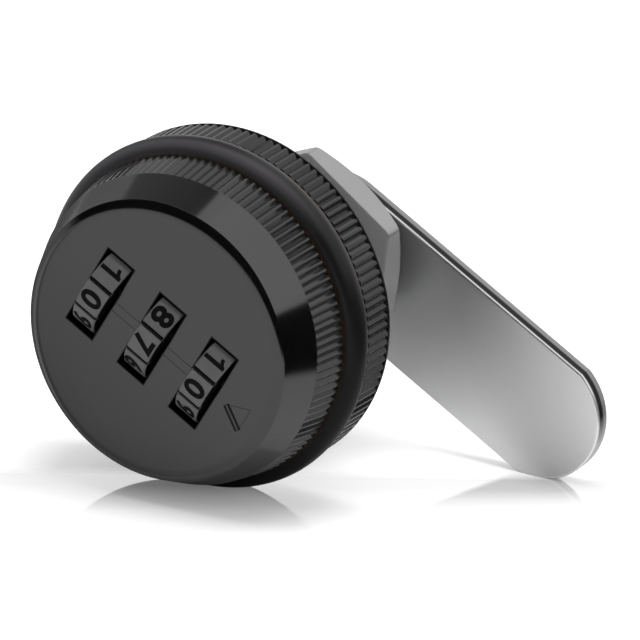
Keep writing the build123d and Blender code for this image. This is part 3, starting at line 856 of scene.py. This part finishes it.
# In reflections the floor is dark to the lock's right, and seen directly it glows a little
path = tree.nodes.new("ShaderNodeLightPath").outputs
floor_right = split_axes(tree, place)["X"]
reflected = map_range(tree, floor_right, floor_lit_end, floor_dark_start, 0.75, 0.0, smooth=True)
floor_tone = mix_colour(tree, path["Is Glossy Ray"], grey(0.9), reflected)
tree.links.new(floor_tone, shader.inputs["Base Color"])
shader.inputs["Emission Color"].default_value = (1.0, 1.0, 1.0, 1.0)
tree.links.new(maths(tree, "MULTIPLY", path["Is Camera Ray"], 0.33), shader.inputs["Emission Strength"])

# A strip of the floor at the ring's foot is polished, and the polish fades towards its front
mirror = tree.nodes.new("ShaderNodeBsdfGlossy")
mirror.inputs["Roughness"].default_value = 0.03
forwards = along_direction(tree, place, mirror_way)
polish_stops = ((0.02, 0.0), (0.08, 0.0), (0.19, 0.64), (0.3, 0.62), (0.42, 0.4), (0.6, 0.16),
                (1.0, 0.0))
polish = grey_ramp(tree, map_range(tree, forwards, mirror_start, mirror_end), polish_stops)
floor_finish = tree.nodes.new("ShaderNodeMixShader")
tree.links.new(polish, floor_finish.inputs["Fac"])
tree.links.new(shader.outputs["BSDF"], floor_finish.inputs[1])
tree.links.new(mirror.outputs["BSDF"], floor_finish.inputs[2])
tree.links.new(floor_finish.outputs["Shader"], tree.nodes["Material Output"].inputs["Surface"])
floor_data.materials.append(floor_material)

world = bpy.data.worlds.new("white_surround")
bpy.context.scene.world = world
world.use_nodes = True
tree = world.node_tree
background = tree.nodes["Background"]
background.inputs["Color"].default_value = (1.0, 1.0, 1.0, 1.0)
path = tree.nodes.new("ShaderNodeLightPath").outputs
seen = maths(tree, "MAXIMUM", path["Is Camera Ray"], path["Is Glossy Ray"])
seen = maths(tree, "MAXIMUM", seen, path["Is Transmission Ray"])
tree.links.new(map_range(tree, seen, 0.0, 1.0, 0.68, 1.0), background.inputs["Strength"])

light_spot = Vector((0.06, 0.02, 0.45))
light_data = bpy.data.lights.new("overhead_box", "AREA")
light_data.shape = "RECTANGLE"
light_data.size = 0.3
light_data.size_y = 0.3
light_data.energy = 1.6
overhead_box = bpy.data.objects.new("overhead_box", light_data)
bpy.context.collection.objects.link(overhead_box)
overhead_box.location = light_spot
overhead_box.rotation_euler = (-light_spot).to_track_quat("-Z", "Y").to_euler()
overhead_box.visible_glossy = False


def sky_card(name, turns, rises, levels, runs="X"):
    """A curved card one metre out, between two turns and two rises in degrees, that shows only
    in reflections. Its level runs along its turn, or along its rise where runs is Y."""
    card = bmesh.new()
    uv = card.loops.layers.uv.new("UVMap")
    columns, rows = 24, 12
    grid = []
    for column in range(columns + 1):
        turn = math.radians(turns[0] + (turns[1] - turns[0]) * column / columns)
        line = []
        for row in range(rows + 1):
            rise = math.radians(rises[0] + (rises[1] - rises[0]) * row / rows)
            spot = (math.cos(rise) * math.cos(turn), math.cos(rise) * math.sin(turn), math.sin(rise))
            line.append(card.verts.new(spot))
        grid.append(line)
    for column in range(columns):
        for row in range(rows):
            steps = ((column, row), (column + 1, row), (column + 1, row + 1), (column, row + 1))
            quad = card.faces.new([grid[u][v] for u, v in steps])
            for loop, (u, v) in zip(quad.loops, steps):
                loop[uv].uv = (u / columns, v / rows)
    material = bpy.data.materials.new(name)
    material.use_nodes = True
    tree = material.node_tree
    tree.nodes.remove(tree.nodes["Principled BSDF"])
    glow = tree.nodes.new("ShaderNodeEmission")
    level = map_range(tree, uv_parts(tree)[runs], 0.0, 1.0, *levels)
    tree.links.new(level, glow.inputs["Strength"])
    tree.links.new(glow.outputs["Emission"], tree.nodes["Material Output"].inputs["Surface"])
    piece = keep_mesh(name, card, material)
    piece.visible_camera = False
    piece.visible_diffuse = False
    piece.visible_transmission = False
    piece.visible_volume_scatter = False
    piece.visible_shadow = False


sky_card("front_curtain", turns=(-174.0, -42.0), rises=(-8.0, 62.0), levels=(0.0, 0.0))
sky_card("right_flag", turns=(-42.0, 30.0), rises=(-26.0, 13.5), levels=(0.0, 0.0))
sky_card("right_soft_box", turns=(-42.0, 106.0), rises=(13.5, 80.0), levels=(1.3, 1.3))
sky_card("ceiling_flag", turns=(106.0, 168.0), rises=(33.0, 80.0), levels=(0.12, 0.32))
sky_card("left_flag", turns=(134.0, 186.0), rises=(-2.0, 33.0), levels=(0.25, 0.6), runs="Y")


# Camera: a long lens to the right of the knob and above it, where the photograph is taken from,
# rolled by a degree or so, as the photograph is.

camera_data = bpy.data.cameras.new("camera")
camera_data.lens = 337.5
camera_data.sensor_width = 36.0
camera_data.clip_start = 0.05
camera_data.clip_end = 10.0
camera = bpy.data.objects.new("camera", camera_data)
bpy.context.collection.objects.link(camera)
view_from = Vector((0.30803, -0.529255, 0.234063))
view_at = Vector((0.0087686, 0.00393, -0.00224))
view_roll = math.radians(-1.303)
look = (view_at - view_from).to_track_quat("-Z", "Y").to_matrix().to_4x4()
camera.matrix_world = Matrix.Translation(view_from) @ look @ Matrix.Rotation(-view_roll, 4, "Z")
bpy.context.scene.camera = camera

bpy.context.scene.view_settings.view_transform = "Standard"
